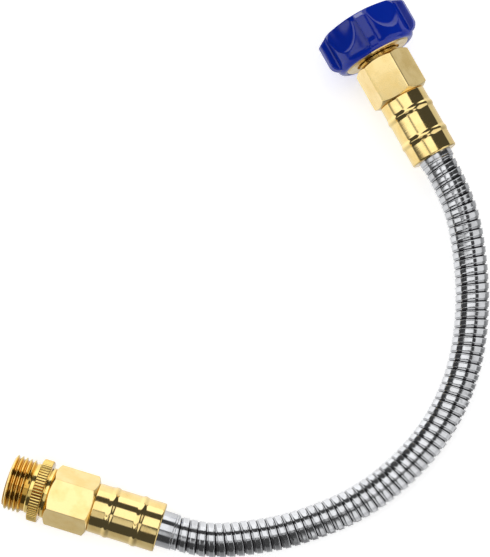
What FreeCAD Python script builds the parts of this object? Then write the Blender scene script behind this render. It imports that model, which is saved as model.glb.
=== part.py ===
import FreeCAD, Part
import math
import os
from FreeCAD import Matrix, Placement, Rotation, Vector

# Flexible water-hose protector for a caravan inlet: a short drinking-water hose in a strip-wound
# stainless sheath, with a male garden-hose thread at one end and a hand-turned swivel nut at the other.
#
# Each fitting is drawn standing on the XY plane: z = 0 is the end of the sheath, and +Z leads out of
# the hose towards the fitting's free end. It is then turned and moved to its end of the route.

# ---- hose: the centre line's route lies on the floor (z = 0), from the coupling to the male end ----
ROUTE = [
    (103.3, 55.0, 19.56),
    (111.8, 39.5, 18.56),
    (117.7, 18.6, 15.5),
    (120.6, -16.2, 11.8),
    (114.9, -52.2, 9.2),
    (97.7, -84.5, 8.55),
    (66.6, -112.7, 8.55),
    (29.9, -127.3, 9.0),
    (4.0, -131.4, 10.4),
    (-13.9, -132.4, 12.23),
    (-27.6, -128.2, 12.79),
]
ARC_SHARE = 0.45          # of the shorter run beside a corner
SHEATH_R = 8.5            # outside of the strip-wound steel
SHEATH_WALL = 1.6
LINER_GAP = 0.3           # between the liner and the sheath
LINER_WALL = 1.8

# ---- edges ----
SMALL_EDGE = 0.4
STUB_CHAMFER = 0.5
OVER = 1.0                # a cutter runs on past the face that it cuts

# ---- fits ----
CRIMP_GAP = 0.03          # pressed, crimped or screwed pieces of one fitting
BEARING_GAP = 0.05        # the swivel nut on its tailpiece
SOCKET_GAP = 0.05         # the grip moulded over the nut

# ---- sleeve, ferrule and hex adapter, alike at both ends ----
SLEEVE_R = 8.8
MALE_SLEEVE_SHOWS = 7.7   # out of the ferrule
COUPLING_SLEEVE_SHOWS = 3.7
FERRULE_LENGTH = 34.0
FERRULE_R = 12.1
BEAD_R = 12.6
BEAD_WIDTH = 3.6
BEADS_FROM_HOSE = (10.7, 25.0)
FERRULE_CHAMFER = 0.7
HEX_ACROSS = 26.0
HEX_LENGTH = 22.0
HEX_CHAMFER_R = 12.5      # where the 30 degree chamfer meets the end face
SPIGOT_LENGTH = 4.0
STEM_LENGTH = 27.0        # the barbed stem, past the spigot
STEM_BORE_R = 3.4
BARB_HEIGHT = 0.5
BARB_PITCH = 5.4
BARBS_FROM_SPIGOT = 2.0
SOCKET_R = 9.6
SOCKET_DEPTH = 11.0
GASKET_THICKNESS = 1.5
GASKET_INNER_R = 6.8

# ---- 3/4-11.5 NH garden-hose thread ----
THREAD_PITCH = 25.4 / 11.5
THREAD_DEPTH = 1.4
THREAD_FLAT = THREAD_PITCH / 8    # crest and root
MALE_THREAD_R = 13.45
MALE_THREAD_LENGTH = 11.2
FEMALE_MINOR_R = 12.25

# ---- male nipple ----
SHOULDER_R = 12.4
SHOULDER_LENGTH = 2.2
GROOVE_R = 11.2           # beside the knurled ring
GROOVE_WIDTH = 0.8
RING_R = 15.4
RING_WIDTH = 5.3
RING_TEETH = 56
TOOTH_DEPTH = 0.7
TOOTH_CREST = (0.3, 0.7)  # start and end of a tooth's crest, as shares of its step
RING_CHAMFER = 0.8
NECK_LENGTH = 2.2         # plain, between the ring and the thread
MOUTH_R = 8.6
MOUTH_DEPTH = 17.0
MOUTH_CONE = 2.0          # down to the nipple's bore
NIPPLE_BORE_R = 6.3

# ---- swivel tailpiece ----
NECK_R = 10.4
NECK_RINGS = ((0.0, 0.6), (1.3, 2.0))    # start and end, from the hex adapter's face
NECK_RING_R = 10.75
BEARING_R = 11.25
FLANGE_R = 12.1
FLANGE_WIDTH = 3.0
TAIL_BORE_R = 6.5

# ---- swivel nut ----
NUT_GAP = 2.2             # from the hex adapter to the nut
NUT_LENGTH = 19.8
NUT_ACROSS = 32.0
NUT_COLLAR_R = 17.4
NUT_COLLAR_WIDTH = 3.0
NUT_BACK_WIDTH = 4.2      # the wall that the flange pulls on
COUNTERBORE_R = 12.0
COUNTERBORE_DEPTH = 2.0
RECESS_R = 12.9           # behind the thread
NUT_EDGE = 0.6

# ---- hose washer ----
WASHER_R = 12.75
WASHER_HOLE_R = 8.0
WASHER_THICKNESS = 2.6
WASHER_PLAY = 0.05

# ---- grip ----
GRIP_BACK = 0.3           # the nut stands this far out of the grip's back
LIP_THICKNESS = 1.15      # over the nut's front
LIP_HOLE_R = 14.2
GRIP_RIM_R = 20.0
GRIP_R = 21.5
GRIP_FLARE = 3.2          # length of the cone behind the front rim
GRIP_BACK_R = 18.6
GRIP_BACK_ROUND = 3.4     # length of the rounding behind
ROUND_FACETS = 4
FIN_COUNT = 5
FIN_R = 25.1
FIN_WIDTH = 4.8
FIN_SETBACK = 0.4         # of the fins behind the front rim
FIN_FRONT = 3.4           # the fins' front chamfer, along the axis
FIN_STRAIGHT = 11.0
FIN_BACK_ROUND = 5.0
FLUTE_WIDTH = 18.6
FLUTE_LENGTH = 14.6       # from the front rim to the bottom of the U
FLUTE_FLOOR_R = 19.9

# ---- how each fitting is turned about its own axis ----
MALE_ROLL = 0.0           # a flat of its hex faces up
GRIP_ROLL = 0.0
COUPLING_ROLL = -20.0     # of the hex adapter and the nut
FIN_ROLL = -9.0           # of the first fin, from straight up

# ---- lengths that follow ----
SHEATH_BORE_R = SHEATH_R - SHEATH_WALL
LINER_R = SHEATH_BORE_R - LINER_GAP
LINER_BORE_R = LINER_R - LINER_WALL
STEM_R = LINER_BORE_R - CRIMP_GAP
STUB_R = SOCKET_R - CRIMP_GAP
STUB_LENGTH = SOCKET_DEPTH - GASKET_THICKNESS
GRIP_LENGTH = NUT_LENGTH - GRIP_BACK + SOCKET_GAP + LIP_THICKNESS
END = Vector(0, 0, 1)
ORIGIN = Vector(0, 0, 0)


def turned(*points):
    """A solid of revolution about Z from an outline of (radius, z) points."""
    outline = [Vector(r, 0, z) for r, z in points]
    return Part.Face(Part.makePolygon(outline + outline[:1])).revolve(ORIGIN, END, 360)


def tube(outer, inner, low, high):
    return turned((inner, low), (outer, low), (outer, high), (inner, high))


def cylinder(radius, low, high):
    return Part.makeCylinder(radius, high - low, Vector(0, 0, low))


def prism(points, low, high):
    """A straight solid along Z from an outline of (x, y) points."""
    outline = [Vector(x, y, low) for x, y in points]
    return Part.Face(Part.makePolygon(outline + outline[:1])).extrude(Vector(0, 0, high - low))


def hexagon(across, low, high):
    """A hexagonal bar with one flat facing +X."""
    corner = across / 2 / math.cos(math.pi / 6)
    angles = [math.pi / 6 + k * math.pi / 3 for k in range(6)]
    return prism([(corner * math.cos(a), corner * math.sin(a)) for a in angles], low, high)


def around(shape, count, first):
    """Copies of a shape, evenly spaced about Z."""
    copies = []
    for k in range(count):
        copy = shape.copy()
        copy.rotate(ORIGIN, END, first + k * 360.0 / count)
        copies.append(copy)
    return copies


def joined(shapes):
    return shapes[0].multiFuse(shapes[1:])


def thread_ridges(crest_r, root_r, low, high):
    """The outline of a thread's ridges between two heights, as (radius, z) points at its true pitch."""
    flank = abs(crest_r - root_r) * math.tan(math.pi / 6)
    ridges = int((high - low) / THREAD_PITCH)
    points = []
    for k in range(ridges):
        z = low + k * THREAD_PITCH + THREAD_FLAT / 2
        points += [
            (root_r, z), (crest_r, z + flank),
            (crest_r, z + flank + THREAD_FLAT), (root_r, z + 2 * flank + THREAD_FLAT),
        ]
    return points


# ---- the hose ----

def route_wire(points):
    """Straight runs joined by tangent arcs. Returns the wire and the arcs' radii."""
    edges, radii = [], []
    start = points[0]
    for before, corner, after in zip(points, points[1:], points[2:]):
        back, on = before - corner, after - corner
        half_turn = (math.pi - back.getAngle(on)) / 2
        reach = ARC_SHARE * min(back.Length, on.Length)
        radii.append(reach / math.tan(half_turn))
        back.normalize()
        on.normalize()
        into, out = corner + back * reach, corner + on * reach
        towards = (back + on).normalize()
        middle = corner + towards * (radii[-1] / math.cos(half_turn) - radii[-1])
        edges += [Part.LineSegment(start, into).toShape(), Part.Arc(into, middle, out).toShape()]
        start = out
    edges.append(Part.LineSegment(start, points[-1]).toShape())
    return Part.Wire(edges), radii


def hose_tube(wire, points, outer, inner):
    """A round tube along the route."""
    way = points[1] - points[0]
    profiles = [Part.Wire(Part.Circle(points[0], way, r).toShape()) for r in (outer, inner)]
    full, hole = (wire.makePipeShell([p], True, False) for p in profiles)
    return full.cut(hole)


# ---- pieces alike at both ends, z = 0 at the end of the sheath ----

def sheath_sleeve(shows):
    """Steel end sleeve of the sheath, clamped under the ferrule."""
    return tube(SLEEVE_R, SHEATH_BORE_R, 0, shows + FERRULE_LENGTH - SPIGOT_LENGTH)


def ferrule(shows):
    """Turned brass shell, crimped over the sleeve, with two beads."""
    low, high = shows, shows + FERRULE_LENGTH
    bore = SLEEVE_R + CRIMP_GAP
    c = FERRULE_CHAMFER
    outline = [(bore, low), (FERRULE_R - c, low), (FERRULE_R, low + c)]
    for place in BEADS_FROM_HOSE:
        middle = low + place
        rise = BEAD_R - FERRULE_R
        outline += [
            (FERRULE_R, middle - BEAD_WIDTH / 2),
            (BEAD_R, middle - BEAD_WIDTH / 2 + rise),
            (BEAD_R, middle + BEAD_WIDTH / 2 - rise),
            (FERRULE_R, middle + BEAD_WIDTH / 2),
        ]
    outline += [(FERRULE_R, high - c), (FERRULE_R - c, high), (bore, high)]
    return turned(*outline)


def hex_adapter(low):
    """Brass body: a hex with a socket in its outer face, and a barbed stem that holds the liner."""
    high = low + HEX_LENGTH
    corner = HEX_ACROSS / 2 / math.cos(math.pi / 6)
    slope = math.tan(math.pi / 6)
    drop = (corner + OVER - HEX_CHAMFER_R) * slope
    blank = turned(
        (0, low), (HEX_CHAMFER_R, low), (corner + OVER, low + drop),
        (corner + OVER, high - drop), (HEX_CHAMFER_R, high), (0, high),
    )
    body = hexagon(HEX_ACROSS, low, high).common(blank)
    spigot_end = low - SPIGOT_LENGTH
    stem_end = spigot_end - STEM_LENGTH
    stem = [(0, low + OVER), (SLEEVE_R, low + OVER), (SLEEVE_R, spigot_end), (STEM_R, spigot_end)]
    z = spigot_end - BARBS_FROM_SPIGOT
    while z - BARB_PITCH > stem_end:
        stem += [(STEM_R, z), (STEM_R - BARB_HEIGHT, z), (STEM_R, z - BARB_PITCH)]
        z -= BARB_PITCH
    stem += [(STEM_R, stem_end + BARB_HEIGHT), (STEM_R - BARB_HEIGHT, stem_end), (0, stem_end)]
    body = body.fuse(turned(*stem))
    body = body.cut(cylinder(SOCKET_R, high - SOCKET_DEPTH, high + OVER))
    return body.cut(cylinder(STEM_BORE_R, stem_end - OVER, high))


def gasket(face):
    """Flat rubber seal between a stub and the floor of its socket."""
    floor = face - SOCKET_DEPTH
    return tube(SOCKET_R - CRIMP_GAP, GASKET_INNER_R, floor, floor + GASKET_THICKNESS)


# ---- male end ----

def male_nipple(face):
    """Brass nipple: stub, shoulder, knurled ring, plain neck and garden-hose thread."""
    ring = face + SHOULDER_LENGTH
    neck = ring + RING_WIDTH
    thread = neck + NECK_LENGTH
    tip = thread + MALE_THREAD_LENGTH
    root_r = MALE_THREAD_R - THREAD_DEPTH
    body = turned(
        (0, face - STUB_LENGTH), (STUB_R - STUB_CHAMFER, face - STUB_LENGTH),
        (STUB_R, face - STUB_LENGTH + STUB_CHAMFER), (STUB_R, face),
        (SHOULDER_R - SMALL_EDGE, face), (SHOULDER_R, face + SMALL_EDGE),
        (SHOULDER_R, ring - GROOVE_WIDTH), (GROOVE_R, ring - GROOVE_WIDTH), (GROOVE_R, ring),
        (SHOULDER_R, ring), (SHOULDER_R, thread),
        *thread_ridges(MALE_THREAD_R, root_r, thread, tip),
        (root_r, tip - THREAD_FLAT), (root_r - THREAD_FLAT, tip), (0, tip),
    )
    mouth_floor = tip - MOUTH_DEPTH
    mouth = turned(
        (0, mouth_floor), (NIPPLE_BORE_R, mouth_floor), (MOUTH_R, mouth_floor + MOUTH_CONE),
        (MOUTH_R, tip - SMALL_EDGE), (MOUTH_R + SMALL_EDGE, tip),
        (MOUTH_R + SMALL_EDGE, tip + OVER), (0, tip + OVER),
    )
    bore = cylinder(NIPPLE_BORE_R, face - STUB_LENGTH - OVER, tip)
    return body.fuse(knurled_ring(ring)).cut(mouth).cut(bore)


def knurled_ring(low):
    """Ring with straight teeth for the fingers, chamfered at both edges."""
    outline = []
    step = 2 * math.pi / RING_TEETH
    valley = RING_R - TOOTH_DEPTH
    for k in range(RING_TEETH):
        for r, share in ((valley, 0.0), (RING_R, TOOTH_CREST[0]), (RING_R, TOOTH_CREST[1])):
            angle = (k + share) * step
            outline.append((r * math.cos(angle), r * math.sin(angle)))
    c = RING_CHAMFER
    edge = turned(
        (0, low), (RING_R - c, low), (RING_R, low + c),
        (RING_R, low + RING_WIDTH - c), (RING_R - c, low + RING_WIDTH), (0, low + RING_WIDTH),
    )
    return prism(outline, low, low + RING_WIDTH).common(edge)


# ---- coupling end ----

def swivel_tailpiece(face):
    """Brass tube that carries the nut: stub, stepped neck, bearing and flange."""
    back = face + NUT_GAP
    bearing = back + COUNTERBORE_DEPTH - BEARING_GAP
    flange = back + NUT_BACK_WIDTH + BEARING_GAP
    front = flange + FLANGE_WIDTH
    stub_end = face - STUB_LENGTH
    outline = [
        (TAIL_BORE_R, stub_end), (STUB_R - STUB_CHAMFER, stub_end),
        (STUB_R, stub_end + STUB_CHAMFER), (STUB_R, face),
    ]
    for start, end in NECK_RINGS:
        outline += [
            (NECK_R, face + start), (NECK_RING_R, face + start),
            (NECK_RING_R, face + end), (NECK_R, face + end),
        ]
    outline += [
        (NECK_R, bearing), (BEARING_R, bearing), (BEARING_R, flange),
        (FLANGE_R - SMALL_EDGE, flange), (FLANGE_R, flange + SMALL_EDGE),
        (FLANGE_R, front - SMALL_EDGE), (FLANGE_R - SMALL_EDGE, front), (TAIL_BORE_R, front),
    ]
    return turned(*outline)


def swivel_nut(face):
    """Brass nut: collar and hexagon outside, bearing, washer recess and thread inside."""
    back = face + NUT_GAP
    front = back + NUT_LENGTH
    recess = back + NUT_BACK_WIDTH
    flange_front = recess + BEARING_GAP + FLANGE_WIDTH
    thread = flange_front + WASHER_PLAY + WASHER_THICKNESS + WASHER_PLAY
    major_r = FEMALE_MINOR_R + THREAD_DEPTH
    collar_end = back + NUT_COLLAR_WIDTH
    e = NUT_EDGE
    collar = turned(
        (0, back), (NUT_COLLAR_R - e, back), (NUT_COLLAR_R, back + e),
        (NUT_COLLAR_R, collar_end), (0, collar_end),
    )
    body = collar.fuse(hexagon(NUT_ACROSS, back + e, front).common(cylinder(NUT_COLLAR_R, back, front)))
    hollow = turned(
        (0, back - OVER), (COUNTERBORE_R, back - OVER), (COUNTERBORE_R, back + COUNTERBORE_DEPTH),
        (BEARING_R + BEARING_GAP, back + COUNTERBORE_DEPTH), (BEARING_R + BEARING_GAP, recess),
        (RECESS_R, recess), (RECESS_R, thread),
        *thread_ridges(FEMALE_MINOR_R, major_r, thread, front),
        (major_r, front + OVER), (0, front + OVER),
    )
    return body.cut(hollow)


def hose_washer(face):
    """Rubber washer between the tailpiece and the rim of the pipe that is screwed in."""
    low = face + NUT_GAP + NUT_BACK_WIDTH + BEARING_GAP + FLANGE_WIDTH + WASHER_PLAY
    return tube(WASHER_R, WASHER_HOLE_R, low, low + WASHER_THICKNESS)


def grip(face):
    """Plastic hand grip moulded over the nut: flared body, fins, and U-shaped flutes open to the front."""
    back = face + NUT_GAP + GRIP_BACK
    front = back + GRIP_LENGTH
    turns = [math.pi / 2 * k / ROUND_FACETS for k in range(ROUND_FACETS + 1)]
    rounding = [
        (GRIP_BACK_R + (GRIP_R - GRIP_BACK_R) * math.sin(a), back + GRIP_BACK_ROUND * (1 - math.cos(a)))
        for a in turns
    ]
    body = turned((0, back), *rounding, (GRIP_R, front - GRIP_FLARE), (GRIP_RIM_R, front), (0, front))
    flutes = around(flute(front), FIN_COUNT, FIN_ROLL + 180.0 / FIN_COUNT)
    body = body.cut(joined(flutes))
    body = body.multiFuse(around(fin(back, front), FIN_COUNT, FIN_ROLL))
    nut_back = face + NUT_GAP
    nut_front = nut_back + NUT_LENGTH + SOCKET_GAP
    socket_r = NUT_COLLAR_R + SOCKET_GAP
    socket = hexagon(NUT_ACROSS + 2 * SOCKET_GAP, back - OVER, nut_front)
    socket = socket.common(cylinder(socket_r, back - OVER, nut_front))
    socket.rotate(ORIGIN, END, COUPLING_ROLL)
    collar = cylinder(socket_r, back - OVER, nut_back + NUT_COLLAR_WIDTH)
    return body.cut(socket).cut(collar).cut(cylinder(LIP_HOLE_R, back, front + OVER))


def fin(back, front):
    """One radial fin, its outline drawn in the XZ plane: chamfered in front and rounded behind."""
    root = GRIP_BACK_R
    straight_end = front - FIN_FRONT - FIN_STRAIGHT
    low = straight_end - FIN_BACK_ROUND
    points = [
        Vector(root, 0, front - FIN_SETBACK), Vector(GRIP_RIM_R, 0, front - FIN_SETBACK),
        Vector(FIN_R, 0, front - FIN_FRONT), Vector(FIN_R, 0, straight_end),
    ]
    lines = [Part.LineSegment(a, b).toShape() for a, b in zip(points, points[1:])]
    turn = FIN_BACK_ROUND * (1 - math.sqrt(0.5))
    bend = Part.Arc(
        points[-1],
        Vector(FIN_R - turn, 0, straight_end - FIN_BACK_ROUND * math.sqrt(0.5)),
        Vector(FIN_R - FIN_BACK_ROUND, 0, low),
    ).toShape()
    close = [Vector(FIN_R - FIN_BACK_ROUND, 0, low), Vector(root, 0, low), points[0]]
    lines += [bend] + [Part.LineSegment(a, b).toShape() for a, b in zip(close, close[1:])]
    plate = Part.Face(Part.Wire(lines)).extrude(Vector(0, FIN_WIDTH, 0))
    plate.translate(Vector(0, -FIN_WIDTH / 2, 0))
    return plate


def flute(front):
    """The cutter for one finger flute: a U seen from outside, down to a round floor."""
    half = FLUTE_WIDTH / 2
    middle = front - FLUTE_LENGTH + half
    block = Part.makeBox(FIN_R, FLUTE_WIDTH, front + OVER - middle, Vector(0, -half, middle))
    end = Part.makeCylinder(half, FIN_R, Vector(0, 0, middle), Vector(1, 0, 0))
    return block.fuse(end).cut(cylinder(FLUTE_FLOOR_R, middle - FLUTE_WIDTH, front + 2 * OVER))


# ---- places ----

def placed(at, towards, roll):
    """The placement that stands local +Z along a direction, with local +X as near to up as it can be."""
    z = Vector(towards).normalize()
    up = Vector(0, 0, 1)
    x = (up - z * up.dot(z)).normalize()
    y = z.cross(x)
    turn = math.radians(roll)
    x, y = x * math.cos(turn) + y * math.sin(turn), y * math.cos(turn) - x * math.sin(turn)
    return Placement(Matrix(x.x, y.x, z.x, at.x, x.y, y.y, z.y, at.y, x.z, y.z, z.z, at.z, 0, 0, 0, 1))


route = [Vector(*p) for p in ROUTE]
MALE_FACE = MALE_SLEEVE_SHOWS + FERRULE_LENGTH + HEX_LENGTH
COUPLING_FACE = COUPLING_SLEEVE_SHOWS + FERRULE_LENGTH + HEX_LENGTH
male_place = placed(route[-1], route[-1] - route[-2], MALE_ROLL)
coupling_place = placed(route[0], route[0] - route[1], GRIP_ROLL)


def liner_route():
    """The hose's route, run on straight at both ends to the spigots of the hex adapters."""
    start = coupling_place.multVec(Vector(0, 0, COUPLING_FACE - HEX_LENGTH - SPIGOT_LENGTH))
    end = male_place.multVec(Vector(0, 0, MALE_FACE - HEX_LENGTH - SPIGOT_LENGTH))
    return start, end


def build():
    wire, radii = route_wire(route)
    print("arc radii:", ", ".join(f"{r:.0f}" for r in radii), "mm")
    sheath = hose_tube(wire, route, SHEATH_R, SHEATH_BORE_R)
    section = math.pi * (SHEATH_R**2 - SHEATH_BORE_R**2)
    print(f"sheath: {wire.Length:.1f} mm long, volume over section times length:"
          f" {sheath.Volume / section / wire.Length:.4f}")
    start, end = liner_route()
    edges = [Part.LineSegment(start, route[0]).toShape()] + wire.Edges
    edges.append(Part.LineSegment(route[-1], end).toShape())
    long_wire = Part.Wire(edges)
    liner = hose_tube(long_wire, [start, route[0]], LINER_R, LINER_BORE_R)
    print(f"liner: {long_wire.Length:.1f} mm long")

    rolled = Placement(ORIGIN, Rotation(END, COUPLING_ROLL))
    coupling_hex = hex_adapter(COUPLING_FACE - HEX_LENGTH)
    coupling_hex.Placement = rolled
    nut = swivel_nut(COUPLING_FACE)
    nut.Placement = rolled
    male = {
        "male_sheath_sleeve": sheath_sleeve(MALE_SLEEVE_SHOWS),
        "male_ferrule": ferrule(MALE_SLEEVE_SHOWS),
        "male_hex_adapter": hex_adapter(MALE_FACE - HEX_LENGTH),
        "male_gasket": gasket(MALE_FACE),
        "male_nipple": male_nipple(MALE_FACE),
    }
    coupling = {
        "coupling_sheath_sleeve": sheath_sleeve(COUPLING_SLEEVE_SHOWS),
        "coupling_ferrule": ferrule(COUPLING_SLEEVE_SHOWS),
        "coupling_hex_adapter": coupling_hex,
        "coupling_gasket": gasket(COUPLING_FACE),
        "swivel_tailpiece": swivel_tailpiece(COUPLING_FACE),
        "swivel_nut": nut,
        "hose_washer": hose_washer(COUPLING_FACE),
        "grip": grip(COUPLING_FACE),
    }
    nodes = {"hose_sheath": sheath, "hose_liner": liner}
    for pieces, place in ((male, male_place), (coupling, coupling_place)):
        for name, shape in pieces.items():
            shape.Placement = place.multiply(shape.Placement)
            nodes[name] = shape
    return nodes


os.makedirs("parts", exist_ok=True)
for name, shape in build().items():
    solids = shape.Solids
    assert len(solids) == 1 and solids[0].isValid(), f"{name} is not one valid solid"
    solids[0].exportStep(f"parts/{name}.step")
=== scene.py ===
import bisect
import collections
import math

import bpy
from mathutils import Matrix, Vector


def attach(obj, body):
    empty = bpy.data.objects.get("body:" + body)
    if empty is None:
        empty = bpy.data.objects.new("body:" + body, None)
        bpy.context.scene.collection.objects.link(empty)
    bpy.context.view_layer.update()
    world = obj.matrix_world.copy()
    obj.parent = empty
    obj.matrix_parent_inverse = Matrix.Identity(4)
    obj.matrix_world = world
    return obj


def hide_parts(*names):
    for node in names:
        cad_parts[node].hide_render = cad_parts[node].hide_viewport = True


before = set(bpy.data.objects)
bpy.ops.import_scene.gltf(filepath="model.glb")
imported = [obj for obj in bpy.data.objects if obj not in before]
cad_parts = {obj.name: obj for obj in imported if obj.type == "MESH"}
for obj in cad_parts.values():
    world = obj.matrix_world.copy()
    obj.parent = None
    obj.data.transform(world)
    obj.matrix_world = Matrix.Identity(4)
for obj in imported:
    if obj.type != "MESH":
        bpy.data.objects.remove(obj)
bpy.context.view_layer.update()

MM = 0.001
WELD = 1e-6      # metres: points nearer than this are one point

# ---- camera, floor and light ----
# A white table in a light tent. Bright panels hang overhead and round the sides, and the dark gaps
# between them give polished metal its streaks. The camera looks nearly straight down. Reflections
# don't see the table: the light from below the horizon stands in for it.
TARGET = Vector((6.2, -2.4, 10)) * MM
CAMERA_DISTANCE = 780 * MM
ELEVATION = math.radians(80)
back = Vector((0, -math.cos(ELEVATION), math.sin(ELEVATION)))
bpy.ops.object.camera_add(location=TARGET + back * CAMERA_DISTANCE)
camera = bpy.context.object
camera.rotation_mode = "QUATERNION"
camera.rotation_quaternion = back.to_track_quat("Z", "Y")
camera.data.lens = 100.5
bpy.context.scene.camera = camera
bpy.context.scene.view_settings.view_transform = "Standard"

FLOOR_SIZE = 8.0
bpy.ops.object.select_all(action="DESELECT")
bpy.ops.mesh.primitive_plane_add(size=FLOOR_SIZE)
floor = bpy.context.object
floor.name = "floor"
floor.visible_glossy = False


def node(tree, kind, inputs=(), **settings):
    """Adds a shader node. An input is either a value or the socket that feeds it."""
    made = tree.nodes.new("ShaderNode" + kind)
    for name, value in settings.items():
        setattr(made, name, value)
    for socket, value in dict(inputs).items():
        if isinstance(value, bpy.types.NodeSocket):
            tree.links.new(value, made.inputs[socket])
        else:
            made.inputs[socket].default_value = value
    return made


def new_material(name, **sockets):
    """A material with one Principled BSDF, its constants set on the shader's own sockets."""
    made = bpy.data.materials.new(name)
    made.use_nodes = True
    shader = made.node_tree.nodes["Principled BSDF"]
    for socket, value in sockets.items():
        shader.inputs[socket.replace("_", " ")].default_value = value
    return made, made.node_tree, shader


def ramp(tree, factor, *stops):
    """A colour ramp from (position, grey) stops."""
    made = node(tree, "ValToRGB", {"Fac": factor})
    elements = made.color_ramp.elements
    while len(elements) < len(stops):
        elements.new(0.5)
    for element, (position, steel_and_painted_shade) in zip(elements, stops):
        element.position = position
        element.color = (steel_and_painted_shade, steel_and_painted_shade, steel_and_painted_shade, 1)
    return made.outputs["Color"]


floor_paint, tree, shader = new_material(
    "floor_paint", Roughness=0.9, Emission_Color=(1, 1, 1, 1), Emission_Strength=0.6,
)
speckle = node(tree, "TexNoise", {"Scale": 30.0, "Detail": 4.0})
tree.links.new(ramp(tree, speckle.outputs["Fac"], (0.3, 0.9), (0.7, 0.92)), shader.inputs["Base Color"])
floor.data.materials.append(floor_paint)

BACKDROP_LIGHT = 0.9      # past the table's edge, as the camera sees it
GAP_LIGHT = 0.07
PANELS = [     # brightness, then east-west and north-south reach, as parts of a unit way
    (1.30, (-0.66, 0.22), (-0.13, 0.50)),
    (1.30, (-0.93, -0.40), (-0.36, -0.18)),
    (0.70, (-0.32, -0.06), (-0.61, -0.18)),
    (0.95, (0.60, 2.0), (-0.28, 0.28)),
    (0.60, (0.12, 0.30), (-0.34, -0.16)),
    (1.40, (-0.80, 0.55), (0.83, 2.0)),
    (1.05, (0.34, 2.0), (-2.0, -0.30)),
]
LOW_LIGHT, LOW_EAST, LOW_NORTH = 0.80, -0.50, 0.50      # below the horizon, and how it changes
LOW_CARD = (0.70, (0.34, 2.0), (-2.0, -0.30))      # as a panel, below the horizon
PANEL_EDGE = 0.02
world = bpy.data.worlds.new("light_tent")
bpy.context.scene.world = world
world.use_nodes = True
tree = world.node_tree
split = node(tree, "SeparateXYZ", {"Vector": node(tree, "TexCoord").outputs["Generated"]})


def maths(tree, operation, *values):
    """The result of one sum on values or sockets."""
    return node(tree, "Math", dict(enumerate(values)), operation=operation).outputs[0]


def between(tree, value, low, high):
    """One inside a range and zero outside it, with soft edges."""
    sides = []
    for edge, softness in ((low, PANEL_EDGE), (high, -PANEL_EDGE)):
        limits = {"Value": value, "From Min": edge - softness, "From Max": edge + softness}
        sides.append(node(tree, "MapRange", limits).outputs["Result"])
    return maths(tree, "MULTIPLY", *sides)


def add_panel(light, brightness, east, north):
    """The light with one more panel in it."""
    across, up = between(tree, split.outputs["X"], *east), between(tree, split.outputs["Y"], *north)
    return maths(tree, "MULTIPLY_ADD", maths(tree, "MULTIPLY", across, up), brightness, light)


light = GAP_LIGHT
for panel in PANELS:
    light = add_panel(light, *panel)
low = maths(tree, "MULTIPLY_ADD", split.outputs["X"], LOW_EAST, LOW_LIGHT)
low = maths(tree, "MULTIPLY_ADD", split.outputs["Y"], LOW_NORTH, low)
low = add_panel(low, *LOW_CARD)
depth = node(tree, "MapRange", {"Value": split.outputs["Z"], "From Min": PANEL_EDGE, "From Max": -PANEL_EDGE})
light = node(tree, "Mix", {"Factor": depth.outputs["Result"], "A": light, "B": low}).outputs["Result"]
seen = node(tree, "LightPath").outputs["Is Camera Ray"]
mixed = node(tree, "Mix", {"Factor": seen, "A": light, "B": BACKDROP_LIGHT}).outputs["Result"]
tree.nodes["Background"].inputs["Color"].default_value = (1, 1, 1, 1)
tree.links.new(mixed, tree.nodes["Background"].inputs["Strength"])


# ---- hose sheath ----
# Strip-wound stainless hose: one steel strip, rolled to a hooked section and wound so that
# each turn locks into the next. It is polished, and its ends meet the sleeves face to face.
ROUTE = [
    (103.3, 55.0, 19.56), (111.8, 39.5, 18.56), (117.7, 18.6, 15.5), (120.6, -16.2, 11.8),
    (114.9, -52.2, 9.2), (97.7, -84.5, 8.55), (66.6, -112.7, 8.55), (29.9, -127.3, 9.0),
    (4.0, -131.4, 10.4), (-13.9, -132.4, 12.23), (-27.6, -128.2, 12.79),
]
route = [Vector(p) * MM for p in ROUTE]
SHEATH_BORE = 7.1
BAND_COUNT = 65
STRIP_STEPS = 48
STRIP = [      # one turn of the strip: radius, and place from the band's middle
    (7.78, -2.14), (7.25, -2.08), (7.25, -1.66), (8.20, -1.58), (8.46, -1.44), (8.50, -1.24), (8.44, -1.04),
    (8.33, -0.90), (8.31, -0.20), (8.31, 0.70), (8.30, 1.18), (8.22, 1.34), (8.00, 1.42), (7.78, 1.48),
]
BAND_BACK, BAND_FRONT = 1.66, 1.48      # the stiff part of the turn
SHADE_START_R, SHADE_DEPTH = 8.0, 0.6      # the painted shade between the bands starts here, and deepens inwards over this
SOFT_R = 7.5      # the part of the wall that bends evenly


def smooth_line(name, points):
    """The points of the NURBS spline that has a route's points as its control points."""
    curve = bpy.data.curves.new(name, "CURVE")
    curve.dimensions = "3D"
    curve.resolution_u = 24
    spline = curve.splines.new("NURBS")
    spline.points.add(len(points) - 1)
    for point, place in zip(spline.points, points):
        point.co = (*place, 1)
    spline.order_u = 3
    spline.use_endpoint_u = True
    holder = bpy.data.objects.new(name, curve)
    bpy.context.scene.collection.objects.link(holder)
    line = bpy.data.meshes.new_from_object(holder)
    places = [v.co.copy() for v in line.vertices]
    bpy.data.objects.remove(holder)
    bpy.data.meshes.remove(line)
    return places


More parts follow.
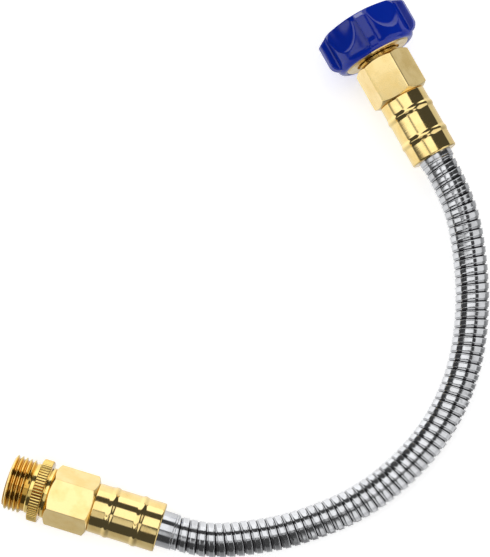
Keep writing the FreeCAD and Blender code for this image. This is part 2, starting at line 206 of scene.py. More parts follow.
class Way:
    """A line with, at each of its points, its length so far and a frame that doesn't twist."""

    def __init__(self, points):
        self.points = points
        self.lengths = [0.0]
        for a, b in zip(points, points[1:]):
            self.lengths.append(self.lengths[-1] + (b - a).length)
        self.frames = []
        side = Vector((0, 0, 1))
        for a, b in zip(points[:1] + points, points[1:] + points[-1:]):
            along = (b - a).normalized()
            side = (side - along * side.dot(along)).normalized()
            self.frames.append((side, along.cross(side), along))

    def place(self, length, point):
        """Where a point near the origin comes to when its plane moves to a length along the line."""
        low = min(max(bisect.bisect_right(self.lengths, length) - 1, 0), len(self.points) - 2)
        share = (length - self.lengths[low]) / (self.lengths[low + 1] - self.lengths[low])
        centre = self.points[low].lerp(self.points[low + 1], share)
        turn = min(max(share, 0), 1)
        axes = [a.lerp(b, turn).normalized() for a, b in zip(self.frames[low], self.frames[low + 1])]
        return centre + sum((axis * part for axis, part in zip(axes, point)), Vector())


def draw(name, points, closed=True):
    """Draws a line of (radius, height) points, in millimetres, by extruding a vertex. Stays in edit mode."""
    bpy.ops.object.select_all(action="DESELECT")
    bpy.ops.mesh.primitive_plane_add(size=MM, location=(0, 0, 0))
    piece = bpy.context.object
    piece.name = piece.data.name = name
    bpy.ops.object.mode_set(mode="EDIT")
    bpy.ops.mesh.merge(type="CENTER")
    places = [Vector((r, 0, z)) * MM for r, z in points]
    bpy.ops.transform.translate(value=places[0])
    for a, b in zip(places, places[1:] + places[:1] * closed):
        bpy.ops.mesh.extrude_region_move(TRANSFORM_OT_translate={"value": b - a})
    bpy.ops.mesh.select_all(action="SELECT")
    bpy.ops.mesh.remove_doubles(threshold=WELD)
    return piece


def pick(*pieces):
    """Selects some objects and nothing else. The last is the active one."""
    bpy.ops.object.select_all(action="DESELECT")
    for piece in pieces:
        piece.select_set(True)
    bpy.context.view_layer.objects.active = pieces[-1]


def modify(piece, kind, **settings):
    """Adds a modifier to a piece and applies it."""
    pick(piece)
    modifier = piece.modifiers.new(kind.lower(), kind)
    for name, value in settings.items():
        setattr(modifier, name, value)
    bpy.ops.object.modifier_apply(modifier=modifier.name)


def close_mesh(piece):
    """Welds a piece's seams and points its faces outwards."""
    pick(piece)
    bpy.ops.object.mode_set(mode="EDIT")
    bpy.ops.mesh.select_all(action="SELECT")
    bpy.ops.mesh.remove_doubles(threshold=WELD)
    bpy.ops.mesh.normals_make_consistent(inside=False)
    bpy.ops.object.mode_set(mode="OBJECT")


hose_way = Way(smooth_line("hose_line", route))
hose_length = hose_way.lengths[-1]
pitch = hose_length / BAND_COUNT
half_pitch = pitch / 2 / MM
strip = [(STRIP[0][0], -half_pitch), *STRIP, (STRIP[-1][0], half_pitch)]
sheath = draw("strip_wound_sheath", strip, closed=False)
bpy.ops.transform.translate(value=(0, 0, -pitch))
bpy.ops.object.mode_set(mode="OBJECT")
modify(
    sheath, "SCREW", axis="Z", screw_offset=pitch, iterations=BAND_COUNT + 2,
    steps=STRIP_STEPS, render_steps=STRIP_STEPS, use_merge_vertices=False,
)
bpy.ops.object.mode_set(mode="EDIT")
bpy.ops.mesh.select_all(action="SELECT")
bpy.ops.mesh.remove_doubles(threshold=WELD)
bpy.ops.mesh.bisect(plane_co=(0, 0, 0), plane_no=(0, 0, 1), clear_inner=True, threshold=WELD)
bpy.ops.mesh.select_all(action="SELECT")
bpy.ops.mesh.bisect(plane_co=(0, 0, hose_length), plane_no=(0, 0, 1), clear_outer=True, threshold=WELD)
bpy.ops.object.mode_set(mode="OBJECT")
wall_steps = 2 * BAND_COUNT
wall = [(SHEATH_BORE, hose_length / MM * k / wall_steps) for k in range(wall_steps + 1)]
bore = draw("bore", wall, closed=False)
bpy.ops.object.mode_set(mode="OBJECT")
modify(
    bore, "SCREW", axis="Z", steps=STRIP_STEPS, render_steps=STRIP_STEPS,
    use_merge_vertices=True, merge_threshold=WELD,
)
pick(bore, sheath)
bpy.ops.object.join()
for end in (0, hose_length):
    bpy.ops.object.mode_set(mode="EDIT")
    bpy.ops.mesh.select_all(action="DESELECT")
    bpy.ops.mesh.select_mode(type="EDGE")
    bpy.ops.object.mode_set(mode="OBJECT")
    uses = collections.Counter(key for face in sheath.data.polygons for key in face.edge_keys)
    for edge in sheath.data.edges:
        level = all(abs(sheath.data.vertices[i].co.z - end) < WELD for i in edge.vertices)
        edge.select = level and uses[edge.key] == 1
    bpy.ops.object.mode_set(mode="EDIT")
    bpy.ops.mesh.bridge_edge_loops()
    bpy.ops.mesh.select_mode(type="VERT")
    bpy.ops.object.mode_set(mode="OBJECT")
close_mesh(sheath)

straight = [v.co.copy() for v in sheath.data.vertices]
unbent = sheath.data.attributes.new("unbent", "FLOAT_VECTOR", "POINT")
unbent.data.foreach_set("vector", [part for co in straight for part in co])
# Painted shade: how far down between the bands each point lies, from none to full.
recess_shade = sheath.data.attributes.new("recess_shade", "FLOAT", "POINT")
for vertex, co in zip(sheath.data.vertices, straight):
    radius = math.hypot(co.x, co.y) / MM
    recess_shade.data[vertex.index].value = min(max((SHADE_START_R - radius) / SHADE_DEPTH, 0), 1)
    turns = co.z / pitch - math.atan2(co.y, co.x) / math.tau
    from_middle = (turns - round(turns)) * pitch
    reach = BAND_FRONT if from_middle > 0 else BAND_BACK
    give = 1.0 if radius < SOFT_R else max(abs(from_middle) / MM - reach, 0) / (half_pitch - reach)
    stiff = from_middle * (1 - min(give, 1))
    vertex.co = hose_way.place(co.z - stiff, (co.x, co.y, stiff))
bpy.ops.object.shade_smooth_by_angle(angle=math.radians(35))
modify(sheath, "WEIGHTED_NORMAL", keep_sharp=True)

DULL_START, DULL_FULL = 0.42, 0.68      # of the noise that spreads the dull patches
smudge = bpy.data.node_groups.new("smudge", "ShaderNodeTree")
for name, kind in (
    ("Vector", "NodeSocketVector"), ("Scale", "NodeSocketFloat"), ("Clean", "NodeSocketColor"),
    ("Dull", "NodeSocketColor"), ("Smooth", "NodeSocketFloat"), ("Rough", "NodeSocketFloat"),
):
    smudge.interface.new_socket(name, in_out="INPUT", socket_type=kind)
for name, kind in (("Color", "NodeSocketColor"), ("Roughness", "NodeSocketFloat")):
    smudge.interface.new_socket(name, in_out="OUTPUT", socket_type=kind)
given = smudge.nodes.new("NodeGroupInput")
given_out = smudge.nodes.new("NodeGroupOutput")
spot = {"Vector": given.outputs["Vector"], "Scale": given.outputs["Scale"], "Detail": 5.0}
broad = node(smudge, "TexNoise", spot).outputs["Fac"]
limits = {"Value": broad, "From Min": DULL_START, "From Max": DULL_FULL}
amount = node(smudge, "MapRange", limits).outputs["Result"]
shade = node(smudge, "Mix", {"Factor": amount}, data_type="RGBA")
smudge.links.new(given.outputs["Clean"], shade.inputs[6])
smudge.links.new(given.outputs["Dull"], shade.inputs[7])
smudge.links.new(shade.outputs[2], given_out.inputs["Color"])
gloss = node(smudge, "Mix", {"Factor": amount, "A": given.outputs["Smooth"], "B": given.outputs["Rough"]})
smudge.links.new(gloss.outputs["Result"], given_out.inputs["Roughness"])

tool_marks = bpy.data.node_groups.new("tool_marks", "ShaderNodeTree")
tool_marks.interface.new_socket("Vector", in_out="INPUT", socket_type="NodeSocketVector")
for name in ("Across", "Along"):
    tool_marks.interface.new_socket(name, in_out="INPUT", socket_type="NodeSocketFloat")
tool_marks.interface.new_socket("Height", in_out="OUTPUT", socket_type="NodeSocketFloat")
given = tool_marks.nodes.new("NodeGroupInput")
given_out = tool_marks.nodes.new("NodeGroupOutput")
across, along = given.outputs["Across"], given.outputs["Along"]
spread = node(tool_marks, "CombineXYZ", {"X": across, "Y": across, "Z": along}).outputs["Vector"]
drawn = node(tool_marks, "VectorMath", {0: given.outputs["Vector"], 1: spread}, operation="MULTIPLY")
streaks = node(tool_marks, "TexNoise", {"Vector": drawn.outputs["Vector"], "Scale": 1.0, "Detail": 3.0})
tool_marks.links.new(streaks.outputs["Fac"], given_out.inputs["Height"])


def placed_group(tree, group, **inputs):
    """Puts a node group in a material with its own values."""
    made = node(tree, "Group", node_tree=group)
    for name, value in inputs.items():
        if isinstance(value, bpy.types.NodeSocket):
            tree.links.new(value, made.inputs[name])
        else:
            made.inputs[name].default_value = value
    return made


strip_steel, tree, shader = new_material("strip_steel", Metallic=1.0)
rolled = node(tree, "Attribute", attribute_name="unbent").outputs["Vector"]
polish = placed_group(
    tree, smudge, Vector=rolled, Scale=160.0, Smooth=0.11, Rough=0.20,
    Clean=(0.63, 0.64, 0.66, 1), Dull=(0.54, 0.545, 0.56, 1),
)
# Painted shade: the steel turns near-black down between the bands, where shade falls.
shade_mask = node(tree, "Attribute", attribute_name="recess_shade").outputs["Fac"]
steel_and_painted_shade = node(tree, "Mix", {"Factor": shade_mask}, data_type="RGBA")
tree.links.new(polish.outputs["Color"], steel_and_painted_shade.inputs[6])
steel_and_painted_shade.inputs[7].default_value = (0.02, 0.02, 0.022, 1)
tree.links.new(steel_and_painted_shade.outputs[2], shader.inputs["Base Color"])
tree.links.new(polish.outputs["Roughness"], shader.inputs["Roughness"])
grooves = placed_group(tree, tool_marks, Vector=rolled, Across=60.0, Along=3200.0)
bump = node(tree, "Bump", {"Strength": 0.06, "Distance": 0.00002, "Height": grooves.outputs["Height"]})
tree.links.new(bump.outputs["Normal"], shader.inputs["Normal"])
sheath.data.materials.append(strip_steel)

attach(sheath, "hose")
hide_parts("hose_sheath")


# ---- hose liner ----
# The drinking-water hose inside the sheath: a smooth extruded rubber tube, pushed over the
# barbed stem of each hex adapter. It is longer than the sheath, and runs straight at its ends.
LINER_R = 6.6
LINER_BORE = 4.8
MALE_SHOWS, COUPLING_SHOWS = 7.7, 3.7      # how much of each sleeve the ferrule leaves bare
FERRULE_LENGTH = 34.0
SPIGOT_LENGTH = 4.0
LINER_STEPS = 32
LINER_RINGS = 120


def run_on(at, before, length):
    """A point straight on past the end of a line."""
    return at + (at - before).normalized() * length * MM


liner_line = smooth_line("liner_line", route)
liner_line = [
    run_on(route[0], route[1], COUPLING_SHOWS + FERRULE_LENGTH - SPIGOT_LENGTH), *liner_line,
    run_on(route[-1], route[-2], MALE_SHOWS + FERRULE_LENGTH - SPIGOT_LENGTH),
]
liner_way = Way(liner_line)
liner_length = liner_way.lengths[-1] / MM
rings = [liner_length * k / LINER_RINGS for k in range(LINER_RINGS + 1)]
liner = draw("water_hose", [(LINER_R, z) for z in rings] + [(LINER_BORE, z) for z in reversed(rings)])
bpy.ops.object.mode_set(mode="OBJECT")
modify(
    liner, "SCREW", axis="Z", steps=LINER_STEPS, render_steps=LINER_STEPS,
    use_merge_vertices=True, merge_threshold=WELD,
)
close_mesh(liner)
for vertex in liner.data.vertices:
    co = vertex.co
    vertex.co = liner_way.place(co.z, (co.x, co.y, 0))
bpy.ops.object.shade_smooth_by_angle(angle=math.radians(40))
hose_rubber, tree, shader = new_material("hose_rubber", Specular_IOR_Level=0.35)
place = node(tree, "TexCoord").outputs["Object"]
tint = placed_group(
    tree, smudge, Vector=place, Scale=90.0, Smooth=0.5, Rough=0.65,
    Clean=(0.52, 0.53, 0.52, 1), Dull=(0.42, 0.43, 0.42, 1),
)
tree.links.new(tint.outputs["Color"], shader.inputs["Base Color"])
tree.links.new(tint.outputs["Roughness"], shader.inputs["Roughness"])
liner.data.materials.append(hose_rubber)
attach(liner, "hose")
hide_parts("hose_liner")


# ---- sheath sleeves ----
# Short stainless tubes that carry on from the ends of the sheath. Each goes a long way up inside
# its ferrule and is clamped there. The bare end has a rolled bead beside the first turn.
SLEEVE_R = 8.8
SLEEVE_BORE = 6.9
TURN_STEPS = 96


def stand(at, before, roll):
    """The matrix that stands a fitting on an end of the hose: +Z leads out, +X is up, then a roll."""
    z = (at - before).normalized()
    x = (Vector((0, 0, 1)) - z * z.z).normalized()
    y = z.cross(x)
    upright = Matrix((x, y, z)).transposed().to_4x4()
    return Matrix.Translation(at) @ upright @ Matrix.Rotation(math.radians(roll), 4, "Z")


def turned(name, points, steps=TURN_STEPS):
    """A lathe-turned ring: a closed line of (radius, height) points spun about Z."""
    piece = draw(name, points)
    bpy.ops.mesh.select_all(action="SELECT")
    bpy.ops.mesh.spin(steps=steps, angle=math.tau, center=(0, 0, 0), axis=(0, 0, 1))
    bpy.ops.object.mode_set(mode="OBJECT")
    close_mesh(piece)
    return piece


def soften(piece, width, angle=30, segments=2):
    """Breaks a piece's sharp edges and sets its shading."""
    modify(
        piece, "BEVEL", width=width * MM, segments=segments, limit_method="ANGLE",
        angle_limit=math.radians(angle), use_clamp_overlap=True, miter_outer="MITER_ARC",
    )
    bpy.ops.object.shade_smooth_by_angle(angle=math.radians(40))
    modify(piece, "WEIGHTED_NORMAL", keep_sharp=True)


def settle(piece, matrix, body, cad_node, material):
    """Stands a finished piece in its place, hangs it under its CAD body and hides the CAD node that it
    replaces.
    """
    piece.matrix_world = matrix
    pick(piece)
    bpy.ops.object.transform_apply(location=True, rotation=True, scale=True)
    piece.data.materials.append(material)
    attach(piece, body)
    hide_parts(cad_node)


def metal(name, matrix, clean, dull, smooth, rough, across, along, depth):
    """A machined metal whose tool marks follow the piece's own axis."""
    made, tree, shader = new_material(name, Metallic=1.0)
    place = node(tree, "TexCoord").outputs["Object"]
    moved = {"Vector": place, "Location": matrix.translation, "Rotation": matrix.to_euler()}
    own = node(tree, "Mapping", moved, vector_type="TEXTURE").outputs["Vector"]
    polish = placed_group(
        tree, smudge, Vector=own, Scale=140.0, Smooth=smooth, Rough=rough, Clean=(*clean, 1), Dull=(*dull, 1),
    )
    marks = placed_group(tree, tool_marks, Vector=own, Across=across, Along=along)
    bump = node(tree, "Bump", {"Strength": 0.3, "Distance": depth * MM, "Height": marks.outputs["Height"]})
    tree.links.new(polish.outputs["Color"], shader.inputs["Base Color"])
    tree.links.new(polish.outputs["Roughness"], shader.inputs["Roughness"])
    tree.links.new(bump.outputs["Normal"], shader.inputs["Normal"])
    return made


ENDS = {
    "male": (stand(route[-1], route[-2], 0), MALE_SHOWS, 0),
    "coupling": (stand(route[0], route[1], 0), COUPLING_SHOWS, -20),
}
for end, (matrix, shows, roll) in ENDS.items():
    top = shows + FERRULE_LENGTH - SPIGOT_LENGTH
    sleeve = turned(end + "_sleeve", [
        (SLEEVE_BORE, 0), (8.6, 0), (SLEEVE_R, 0.2), (SLEEVE_R, 0.9), (8.6, 1.0), (8.6, 1.3),
        (SLEEVE_R, 1.4), (SLEEVE_R, top), (SLEEVE_BORE, top),
    ])
    soften(sleeve, 0.08)
    steel = metal(
        end + "_sleeve_steel", matrix, clean=(0.60, 0.61, 0.63), dull=(0.50, 0.505, 0.52),
        smooth=0.10, rough=0.20, across=40.0, along=2500.0, depth=0.015,
    )
    settle(sleeve, matrix, "hose", end + "_sheath_sleeve", steel)


# ---- ferrules ----
# Polished brass shells, crimped over the sleeve and the stem. Each has two softly rounded
# beads, pressed out by the crimping, and rounded rims.
FERRULE_R = 12.1
FERRULE_BORE = 8.83
BEADS = (10.7, 25.0)
BEAD_RISE, BEAD_HALF, BEAD_POINTS = 0.5, 2.2, 8
for end, (matrix, shows, roll) in ENDS.items():
    top = shows + FERRULE_LENGTH
    outline = [
        (FERRULE_BORE, shows), (11.4, shows), (11.75, shows + 0.1), (12.02, shows + 0.4),
        (FERRULE_R, shows + 0.9),
    ]
    for middle in BEADS:
        for k in range(-BEAD_POINTS, BEAD_POINTS + 1):
            rise = BEAD_RISE * (1 + math.cos(math.pi * k / BEAD_POINTS)) / 2
            outline.append((FERRULE_R + rise, shows + middle + BEAD_HALF * k / BEAD_POINTS))
    outline += [(FERRULE_R, top - 0.8), (11.95, top - 0.3), (11.6, top), (FERRULE_BORE, top)]
    ferrule = turned(end + "_crimp_ferrule", outline)
    soften(ferrule, 0.1)
    brass = metal(
        end + "_ferrule_brass", matrix, clean=(0.92, 0.71, 0.31), dull=(0.86, 0.62, 0.24),
        smooth=0.09, rough=0.16, across=30.0, along=1800.0, depth=0.03,
    )
    settle(ferrule, matrix, "hose", end + "_ferrule", brass)


# ---- hex adapters ----
# Cut from hexagonal brass bar, with satin flats, chamfered at both ends. The outer end has the
# socket that the nipple or tailpiece screws into, and the barbed stem goes inside the liner.
HEX_ACROSS = 26.0
HEX_LENGTH = 22.0
HEX_CHAMFER_R = 12.5
SOCKET_R, SOCKET_DEPTH = 9.6, 11.0
STEM_R, STEM_BORE, STEM_LENGTH = 4.77, 3.4, 27.0
BARB_PITCH, BARB_HEIGHT, BARB_COUNT = 5.4, 0.5, 4


def hex_adapter(name, low):
    """A hex adapter turned as a round bar, then its outside pulled in to the six flats."""
    high = low + HEX_LENGTH
    corner = HEX_ACROSS / 2 / math.cos(math.pi / 6)
    slope = math.tan(math.pi / 6)
    drop = (corner - HEX_CHAMFER_R) * slope
    spigot = low - SPIGOT_LENGTH
    outline = [(STEM_BORE, spigot - STEM_LENGTH), (STEM_R - BARB_HEIGHT, spigot - STEM_LENGTH)]
    for k in range(BARB_COUNT, 0, -1):
        z = spigot - 2 - k * BARB_PITCH
        outline += [(STEM_R, z), (STEM_R - BARB_HEIGHT, z + BARB_PITCH - 0.01)]
    outline += [
        (STEM_R, spigot - 2), (STEM_R, spigot), (SLEEVE_R, spigot), (SLEEVE_R, low), (HEX_CHAMFER_R, low),
        (corner, low + drop), (corner, high - drop), (HEX_CHAMFER_R, high),
        (SOCKET_R, high), (SOCKET_R, high - SOCKET_DEPTH), (STEM_BORE, high - SOCKET_DEPTH),
    ]
    piece = turned(name, outline)
    for vertex in piece.data.vertices:
        x, y, z = vertex.co / MM
        radius = math.hypot(x, y)
        if radius > HEX_CHAMFER_R + 0.5:
            off_flat = (math.atan2(y, x) + math.pi / 6) % (math.pi / 3) - math.pi / 6
            reach = HEX_ACROSS / 2 / math.cos(off_flat)
            up = (reach - HEX_CHAMFER_R) * slope
            z = low + up if z < (low + high) / 2 else high - up
            vertex.co = Vector((x * reach / radius, y * reach / radius, z)) * MM
    return piece


for end, (matrix, shows, roll) in ENDS.items():
    adapter = hex_adapter(end + "_hex_body", shows + FERRULE_LENGTH)
    soften(adapter, 0.18, angle=20)
    turned_by = matrix @ Matrix.Rotation(math.radians(roll), 4, "Z")
    brass = metal(
        end + "_hex_brass", matrix, clean=(0.94, 0.73, 0.34), dull=(0.90, 0.66, 0.26),
        smooth=0.15, rough=0.20, across=500.0, along=40.0, depth=0.012,
    )
    settle(adapter, turned_by, "hose", end + "_hex_adapter", brass)


# ---- gaskets and hose washer ----
# Flat black rubber rings: one at the bottom of each hex adapter's socket, pinched by the stub,
# and a loose one in front of the tailpiece's flange, which seals on the pipe screwed in.
GASKET_OUTER, GASKET_INNER, GASKET_THICKNESS = 9.57, 6.8, 1.5
WASHER_OUTER, WASHER_INNER, WASHER_THICKNESS = 12.75, 8.0, 2.6
NUT_GAP, NUT_BACK, BEARING_GAP, FLANGE_WIDTH, WASHER_PLAY = 2.2, 4.2, 0.05, 3.0, 0.05
seal_rubber, tree, shader = new_material("seal_rubber", Specular_IOR_Level=0.3)
place = node(tree, "TexCoord").outputs["Object"]
tint = placed_group(
    tree, smudge, Vector=place, Scale=400.0, Smooth=0.55, Rough=0.75,
    Clean=(0.03, 0.03, 0.03, 1), Dull=(0.06, 0.058, 0.055, 1),
)
grain = node(tree, "TexNoise", {"Vector": place, "Scale": 4000.0})
bump = node(tree, "Bump", {"Strength": 0.2, "Distance": 0.00005, "Height": grain.outputs["Fac"]})
tree.links.new(tint.outputs["Color"], shader.inputs["Base Color"])
tree.links.new(tint.outputs["Roughness"], shader.inputs["Roughness"])
tree.links.new(bump.outputs["Normal"], shader.inputs["Normal"])


def flat_ring(name, outer, inner, low, thickness):
    """A flat rubber ring with its edges rounded."""
    ring = turned(name, [(inner, low), (outer, low), (outer, low + thickness), (inner, low + thickness)])
    soften(ring, 0.15, segments=3)
    return ring


for end, (matrix, shows, roll) in ENDS.items():
    seat = shows + FERRULE_LENGTH + HEX_LENGTH - SOCKET_DEPTH
    seal = flat_ring(end + "_seal", GASKET_OUTER, GASKET_INNER, seat, GASKET_THICKNESS)
    settle(seal, matrix, "hose", end + "_gasket", seal_rubber)
coupling, shows, roll = ENDS["coupling"]
coupling_face = shows + FERRULE_LENGTH + HEX_LENGTH
nut_back = coupling_face + NUT_GAP
flange_front = nut_back + NUT_BACK + BEARING_GAP + FLANGE_WIDTH
washer = flat_ring("pipe_washer", WASHER_OUTER, WASHER_INNER, flange_front + WASHER_PLAY, WASHER_THICKNESS)
settle(washer, coupling, "coupling", "hose_washer", seal_rubber)


# ---- male nipple ----
# Turned brass, yellower than the rest: a stub that screws into the hex adapter, a shoulder, a
# ring with straight teeth for the fingers, a plain neck, and the garden-hose thread.
male, shows, roll = ENDS["male"]
male_face = shows + FERRULE_LENGTH + HEX_LENGTH
THREAD_PITCH = 25.4 / 11.5
THREAD_ROOT_R, THREAD_CREST_R = 12.05, 13.45
RING_R, RING_WIDTH, TEETH, TOOTH_DEPTH = 15.4, 5.3, 64, 0.7
STUB_R, STUB_LENGTH, STUB_CHAMFER = 9.57, 9.5, 0.5
SHOULDER_R, SHOULDER_LENGTH, SMALL_EDGE = 12.4, 2.2, 0.4
GROOVE_R, GROOVE_WIDTH = 11.2, 0.8
NECK_LENGTH, THREAD_LENGTH = 2.2, 11.2
NIPPLE_BORE_R, MOUTH_R, MOUTH_DEPTH, MOUTH_CONE = 6.3, 8.6, 17.0, 2.0
ring_low = male_face + SHOULDER_LENGTH
neck_low = ring_low + RING_WIDTH
thread_low = neck_low + NECK_LENGTH
tip = thread_low + THREAD_LENGTH
stub_end = male_face - STUB_LENGTH
core = turned("male_nipple_brass", [
    (NIPPLE_BORE_R, stub_end), (STUB_R - STUB_CHAMFER, stub_end), (STUB_R, stub_end + STUB_CHAMFER),
    (STUB_R, male_face), (SHOULDER_R - SMALL_EDGE, male_face), (SHOULDER_R, male_face + SMALL_EDGE),
    (SHOULDER_R, ring_low - GROOVE_WIDTH), (GROOVE_R, ring_low - GROOVE_WIDTH), (GROOVE_R, ring_low + 1),
    (SHOULDER_R, ring_low + 1), (SHOULDER_R, thread_low - 0.5), (THREAD_ROOT_R, thread_low),
    (THREAD_ROOT_R, tip - SMALL_EDGE), (THREAD_ROOT_R - 0.3, tip), (MOUTH_R + SMALL_EDGE, tip),
    (MOUTH_R, tip - SMALL_EDGE), (MOUTH_R, tip - MOUTH_DEPTH + MOUTH_CONE),
    (NIPPLE_BORE_R, tip - MOUTH_DEPTH),
])
soften(core, 0.1)

TOOTH_SHAPE = (1.0, 0.3, 0.0, 0.0, 0.3)      # how deep each point of a tooth's step is
TOOTH_POINTS = len(TOOTH_SHAPE)
ring = turned("finger_ring", [
    (12.0, ring_low), (RING_R - 0.7, ring_low), (RING_R - 0.2, ring_low + 0.25), (RING_R, ring_low + 0.7),
    (RING_R, neck_low - 0.7), (RING_R - 0.2, neck_low - 0.25), (RING_R - 0.7, neck_low), (12.0, neck_low),
], steps=TEETH * TOOTH_POINTS)
for vertex in ring.data.vertices:
    x, y, z = vertex.co
    radius = math.hypot(x, y) / MM
    step = round(math.atan2(y, x) / math.tau * TEETH * TOOTH_POINTS) % TOOTH_POINTS
    if radius > RING_R - 0.5:
        reach = min(radius, RING_R - TOOTH_SHAPE[step] * TOOTH_DEPTH) / radius
        vertex.co = Vector((x * reach, y * reach, z))
pick(ring)
bpy.ops.object.shade_smooth_by_angle(angle=math.radians(25))
modify(ring, "WEIGHTED_NORMAL", keep_sharp=True)

flank = (THREAD_CREST_R - THREAD_ROOT_R) * math.tan(math.pi / 6)
CREST_HALF = 0.16
THREAD_TURNS = 4.5
thread_start = thread_low + 0.25 + flank
ridge = draw("hose_thread", [
    (THREAD_ROOT_R - 0.5, -flank - CREST_HALF), (THREAD_ROOT_R, -flank - CREST_HALF),
    (THREAD_CREST_R - 0.08, -CREST_HALF - 0.05), (THREAD_CREST_R, -CREST_HALF + 0.06),
    (THREAD_CREST_R, CREST_HALF - 0.06), (THREAD_CREST_R - 0.08, CREST_HALF + 0.05),
    (THREAD_ROOT_R, flank + CREST_HALF), (THREAD_ROOT_R - 0.5, flank + CREST_HALF),
])
bpy.ops.transform.translate(value=(0, 0, thread_start * MM))
bpy.ops.object.mode_set(mode="OBJECT")
thread_steps = round(THREAD_TURNS * TURN_STEPS)
modify(
    ridge, "SCREW", axis="Z", screw_offset=THREAD_PITCH * THREAD_TURNS * MM, angle=math.tau * THREAD_TURNS,
    steps=thread_steps, render_steps=thread_steps, use_merge_vertices=False,
)
close_mesh(ridge)
RUN_OUT = 0.2      # of a turn
for vertex in ridge.data.vertices:
    x, y, z = vertex.co / MM
    radius = math.hypot(x, y)
    near = round((z - thread_start) / THREAD_PITCH - (math.atan2(y, x) % math.tau) / math.tau)
    turns = near + (math.atan2(y, x) % math.tau) / math.tau
    rise = min(turns / RUN_OUT, (THREAD_TURNS - turns) / RUN_OUT, 1)
    scale = (min(radius, THREAD_ROOT_R) + max(radius - THREAD_ROOT_R, 0) * max(rise, 0)) / radius
    vertex.co = Vector((x * scale, y * scale, z)) * MM
bpy.ops.object.mode_set(mode="EDIT")
bpy.ops.mesh.select_all(action="DESELECT")
bpy.ops.mesh.select_mode(type="EDGE")
bpy.ops.mesh.select_non_manifold(
    extend=False, use_wire=False, use_multi_face=False, use_non_contiguous=False, use_verts=False,
)
bpy.ops.mesh.fill_holes(sides=0)
bpy.ops.mesh.select_mode(type="VERT")
bpy.ops.object.mode_set(mode="OBJECT")
close_mesh(ridge)
bpy.ops.object.shade_smooth_by_angle(angle=math.radians(35))
modify(ridge, "WEIGHTED_NORMAL", keep_sharp=True)
pick(ridge, ring, core)
bpy.ops.object.join()
gold = metal(
    "nipple_brass", male, clean=(0.95, 0.72, 0.25), dull=(0.88, 0.62, 0.18),
    smooth=0.10, rough=0.18, across=40.0, along=2200.0, depth=0.03,
)
tree = gold.node_tree
shader = tree.nodes["Principled BSDF"]
clean_metal = shader.inputs["Base Color"].links[0].from_socket
# Painted shade: the brass turns a darker brown in the tooth and thread roots, where shade falls.
shade_mask = node(tree, "Attribute", attribute_name="recess_shade").outputs["Fac"]
brass_and_painted_shade = node(tree, "Mix", {"Factor": shade_mask}, data_type="RGBA")
tree.links.new(clean_metal, brass_and_painted_shade.inputs[6])
brass_and_painted_shade.inputs[7].default_value = (0.62, 0.36, 0.07, 1)
tree.links.new(brass_and_painted_shade.outputs[2], shader.inputs["Base Color"])
# Painted shade: how deep each point lies in the tooth and thread roots.
recess_shade = core.data.attributes.new("recess_shade", "FLOAT", "POINT")
for vertex in core.data.vertices:
    x, y, z = vertex.co / MM
    radius = math.hypot(x, y)
    if ring_low < z < neck_low and RING_R - TOOTH_DEPTH - 0.1 < radius:
        recess_shade.data[vertex.index].value = min((RING_R - radius) / TOOTH_DEPTH, 1)
    elif z > thread_low and radius > THREAD_ROOT_R - 0.6:
        recess_shade.data[vertex.index].value = min((THREAD_CREST_R - radius) / (THREAD_CREST_R - THREAD_ROOT_R), 1)
settle(core, male, "hose", "male_nipple", gold)


# ---- swivel tailpiece and nut ----
# The tailpiece is a turned brass tube, screwed into the hex adapter, with fine rings on its neck.
# The nut turns on its bearing, held by the flange, and has a round collar behind its hexagon.
NECK_R, NECK_RING_R, TAIL_BORE_R = 10.4, 10.75, 6.5
BEARING_R, BEARING_START = 11.25, 1.95
FLANGE_R, FLANGE_EDGE = 12.1, 0.4
neck_end = nut_back + BEARING_START
flange_back = nut_back + NUT_BACK + BEARING_GAP
stub_end = coupling_face - STUB_LENGTH
tailpiece = turned("swivel_neck", [
    (TAIL_BORE_R, stub_end), (STUB_R - STUB_CHAMFER, stub_end), (STUB_R, stub_end + STUB_CHAMFER),
    (STUB_R, coupling_face),
    (NECK_RING_R, coupling_face), (NECK_RING_R, coupling_face + 0.6),
    (NECK_R, coupling_face + 0.7), (NECK_R, coupling_face + 1.2),
    (NECK_RING_R, coupling_face + 1.3), (NECK_RING_R, coupling_face + 1.9),
    (NECK_R, coupling_face + 2.0), (NECK_R, neck_end), (BEARING_R, neck_end), (BEARING_R, flange_back),
    (FLANGE_R - FLANGE_EDGE, flange_back), (FLANGE_R, flange_back + FLANGE_EDGE),
    (FLANGE_R, flange_front - FLANGE_EDGE), (FLANGE_R - FLANGE_EDGE, flange_front),
    (TAIL_BORE_R, flange_front),
])
soften(tailpiece, 0.1)
gold = metal(
    "tailpiece_brass", coupling, clean=(0.84, 0.60, 0.20), dull=(0.78, 0.52, 0.15),
    smooth=0.13, rough=0.24, across=40.0, along=2200.0, depth=0.03,
)
settle(tailpiece, coupling, "hose", "swivel_tailpiece", gold)
nut_brass = metal(
    "nut_brass", coupling, clean=(0.88, 0.69, 0.34), dull=(0.82, 0.61, 0.27),
    smooth=0.16, rough=0.26, across=30.0, along=2000.0, depth=0.03,
)
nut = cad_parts["swivel_nut"]
nut.data.materials.clear()
nut.data.materials.append(nut_brass)


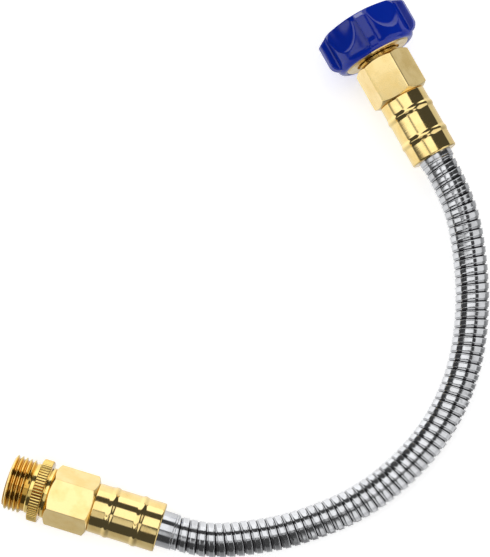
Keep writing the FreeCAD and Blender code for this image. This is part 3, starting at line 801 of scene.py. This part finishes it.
# ---- grip ----
# Glossy blue plastic, moulded over the nut. It flares in front of a rounded back, and has five
# radial fins to push on and a finger flute, open to the front, between each two.
NUT_LENGTH = 19.8
COLLAR_SOCKET_R = 17.45
LIP_HOLE_R = 14.2
RIM_R, GRIP_R, BACK_R = 20.0, 21.5, 18.6
FLARE, BACK_ROUND = 3.2, 3.4
FIN_COUNT, FIN_R, FIN_WIDTH, FIN_ROLL = 5, 25.1, 4.6, -9
FIN_FRONT, FIN_STRAIGHT, FIN_ROUND = 3.4, 11.0, 5.0
FIN_ROOT_R, FIN_SETBACK = COLLAR_SOCKET_R + 0.6, 0.4
FLUTE_HALF, FLUTE_LENGTH, FLUTE_FLOOR_R = 9.9, 14.6, 19.5
GRIP_START, NUT_PLAY, LIP_THICKNESS = 0.3, 0.05, 1.15
grip_back = nut_back + GRIP_START
nut_front = nut_back + NUT_LENGTH + NUT_PLAY      # with its play
grip_front = nut_front + LIP_THICKNESS


def arc(centre, radii, first, last, count):
    """Points of a quarter ellipse, as (radius, height), between two angles in degrees."""
    angles = [math.radians(first + (last - first) * k / count) for k in range(count + 1)]
    return [(centre[0] + radii[0] * math.cos(a), centre[1] + radii[1] * math.sin(a)) for a in angles]


grip = turned("finned_grip", [
    (COLLAR_SOCKET_R, grip_back),
    *arc((BACK_R, grip_back + BACK_ROUND), (GRIP_R - BACK_R, BACK_ROUND), -90, 0, 8),
    (GRIP_R, grip_front - FLARE), (RIM_R, grip_front), (LIP_HOLE_R, grip_front), (LIP_HOLE_R, nut_front),
    (COLLAR_SOCKET_R, nut_front),
], steps=160)

straight_end = grip_front - FIN_FRONT - FIN_STRAIGHT
fin_outline = [
    (FIN_ROOT_R, grip_front - FIN_SETBACK), (RIM_R, grip_front - FIN_SETBACK),
    (FIN_R, grip_front - FIN_FRONT), (FIN_R, straight_end),
    *arc((FIN_R - FIN_ROUND, straight_end), (FIN_ROUND, FIN_ROUND), -15, -90, 5),
    (FIN_ROOT_R, straight_end - FIN_ROUND),
]
fin = draw("fin", fin_outline)
bpy.ops.mesh.select_all(action="SELECT")
bpy.ops.mesh.edge_face_add()
bpy.ops.transform.translate(value=(0, -FIN_WIDTH / 2 * MM, 0))
bpy.ops.mesh.extrude_region_move(TRANSFORM_OT_translate={"value": (0, FIN_WIDTH * MM, 0)})
bpy.ops.object.mode_set(mode="OBJECT")
close_mesh(fin)

SCOOP_R = 23.5      # of the scoop's middle, outside the grip
SCOOP_SQUARE = 0.45  # how flat its floor is
bpy.ops.object.select_all(action="DESELECT")
bpy.ops.mesh.primitive_uv_sphere_add(segments=96, ring_count=48, radius=1, location=(0, 0, 0))
scoop = bpy.context.object
scoop.name = "scoop"
for vertex in scoop.data.vertices:
    x, y, z = vertex.co
    radius = SCOOP_R + math.copysign(abs(x) ** SCOOP_SQUARE, x) * (SCOOP_R - FLUTE_FLOOR_R)
    angle = y * FLUTE_HALF / GRIP_R
    height = grip_front + z * FLUTE_LENGTH
    vertex.co = Vector((radius * math.cos(angle), radius * math.sin(angle), height)) * MM


def cut_or_add(piece, tool, operation, angle):
    """A boolean with a copy of a tool, turned about the piece's axis."""
    copy = tool.copy()
    copy.data = tool.data.copy()
    bpy.context.scene.collection.objects.link(copy)
    copy.matrix_world = Matrix.Rotation(math.radians(angle), 4, "Z")
    bpy.context.view_layer.update()
    modify(piece, "BOOLEAN", object=copy, operation=operation, solver="EXACT")
    bpy.data.objects.remove(copy)


fin_step = 360 / FIN_COUNT
for k in range(FIN_COUNT):
    cut_or_add(grip, scoop, "DIFFERENCE", FIN_ROLL + (k + 0.5) * fin_step)
for k in range(FIN_COUNT):
    cut_or_add(grip, fin, "UNION", FIN_ROLL + k * fin_step)
bpy.data.objects.remove(fin)
bpy.data.objects.remove(scoop)
modify(grip, "REMESH", mode="VOXEL", voxel_size=0.32 * MM, use_smooth_shade=True)
modify(grip, "SMOOTH", factor=0.5, iterations=6)
close_mesh(grip)
bpy.ops.object.shade_smooth()

blue_plastic, tree, shader = new_material("blue_plastic", Specular_IOR_Level=0.45)
place = node(tree, "TexCoord").outputs["Object"]
tint = placed_group(
    tree, smudge, Vector=place, Scale=60.0, Smooth=0.08, Rough=0.14,
    Clean=(0.0, 0.022, 0.40, 1), Dull=(0.0, 0.028, 0.43, 1),
)
ripple = node(tree, "TexNoise", {"Vector": place, "Scale": 260.0, "Detail": 2.0})
bump = node(tree, "Bump", {"Strength": 0.15, "Distance": 0.0002, "Height": ripple.outputs["Fac"]})
tree.links.new(tint.outputs["Color"], shader.inputs["Base Color"])
tree.links.new(tint.outputs["Roughness"], shader.inputs["Roughness"])
tree.links.new(bump.outputs["Normal"], shader.inputs["Normal"])
settle(grip, coupling, "coupling", "grip", blue_plastic)
